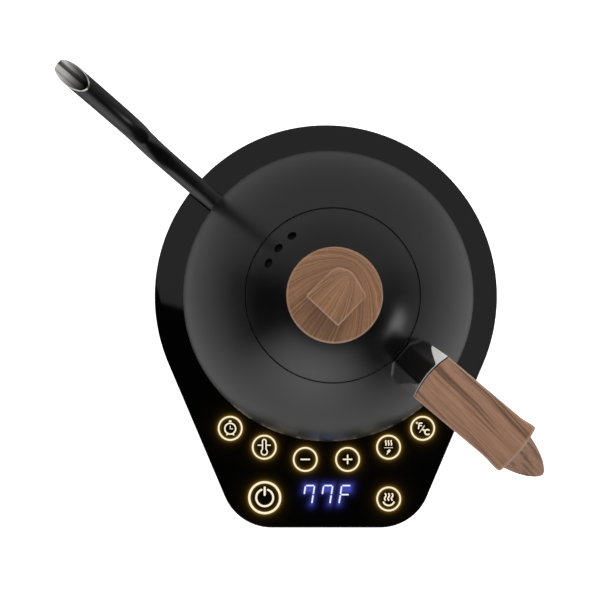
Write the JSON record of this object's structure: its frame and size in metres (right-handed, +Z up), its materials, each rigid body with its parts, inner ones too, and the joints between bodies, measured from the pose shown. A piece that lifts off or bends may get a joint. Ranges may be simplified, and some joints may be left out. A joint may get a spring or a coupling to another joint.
{
  "type": "electric kettle",
  "caption": "Gooseneck electric kettle with a dome body, lift-off lid and walnut grip, on a round-backed base with touch keys and a readout.",
  "frame": {"origin": "on the dock's axis, at the surface that the base's feet stand on", "axes": "+Z up along the dock's axis, -Y towards the touch keys, +X to the right as the user sees them"},
  "size_m": [0.2301, 0.2276, 0.179],
  "materials": {
    "satin_black": "satin black powder coat on steel",
    "gloss_black": "polished black sheet",
    "black_plastic": "fine moulded texture",
    "bare_steel": "brushed",
    "brass": "plain turned",
    "walnut": "oiled walnut",
    "rubber": "matt",
    "silicone": "soft translucent grey",
    "circuit_board": "solder resist",
    "light_guide": "warm translucent",
    "component": "moulded",
    "transformer_tape": "yellow winding tape",
    "terminal_green": "moulded"
  },
  "bodies": {
    "base": {"base_housing": "black_plastic", "touch_panel": "gloss_black", "base_bottom_cover": "black_plastic", "foot_1": "rubber", "foot_2": "rubber", "foot_3": "rubber", "foot_4": "rubber", "base_screw_1": "bare_steel", "base_screw_2": "bare_steel", "base_screw_3": "bare_steel", "base_screw_4": "bare_steel", "base_socket": "black_plastic", "socket_ring_contact": "brass", "socket_pin_contact": "brass", "cord_inlet": "rubber", "control_board": "circuit_board", "display_module": "component", "key_light_guide_1": "light_guide", "key_light_guide_2": "light_guide", "key_light_guide_3": "light_guide", "key_light_guide_4": "light_guide", "key_light_guide_5": "light_guide", "key_light_guide_6": "light_guide", "key_light_guide_7": "light_guide", "key_light_guide_8": "light_guide", "power_board": "circuit_board", "relay": "component", "transformer": "transformer_tape", "filter_capacitor": "component", "buzzer": "component", "terminal_block": "terminal_green"},
    "connector": {"kettle_connector": "black_plastic", "connector_pin": "brass"},
    "kettle": {"kettle_body": "satin_black", "mouth_ring": "bare_steel", "heater_plate": "bare_steel", "heating_element": "bare_steel", "element_terminal_1": "brass", "element_terminal_2": "brass", "temperature_sensor": "bare_steel", "thermal_cutout": "component", "kettle_bottom_cover": "black_plastic", "cover_screw_1": "bare_steel", "cover_screw_2": "bare_steel", "cover_screw_3": "bare_steel", "spout": "satin_black", "handle_bracket": "satin_black", "handle_ferrule": "bare_steel", "handle_grip": "walnut", "handle_stud": "bare_steel", "handle_insert": "brass"},
    "lid": {"lid_shell": "satin_black", "lid_inner_plate": "bare_steel", "lid_seal": "silicone", "lid_knob": "walnut", "knob_washer": "rubber", "knob_screw": "bare_steel"}
  },
  "joints": [
    {"name": "kettle_lift", "type": "slide", "parent": "base", "child": "connector", "axis": [0, 0, 1], "range_m": [0, 0.12]},
    {"name": "kettle_spin", "type": "hinge", "parent": "connector", "child": "kettle", "pos_m": [0, 0, 0.03], "axis": [0, 0, 1], "continuous": true},
    {"name": "lid_lift", "type": "slide", "parent": "kettle", "child": "lid", "axis": [0, 0, 1], "range_m": [0, 0.09]}
  ]
}
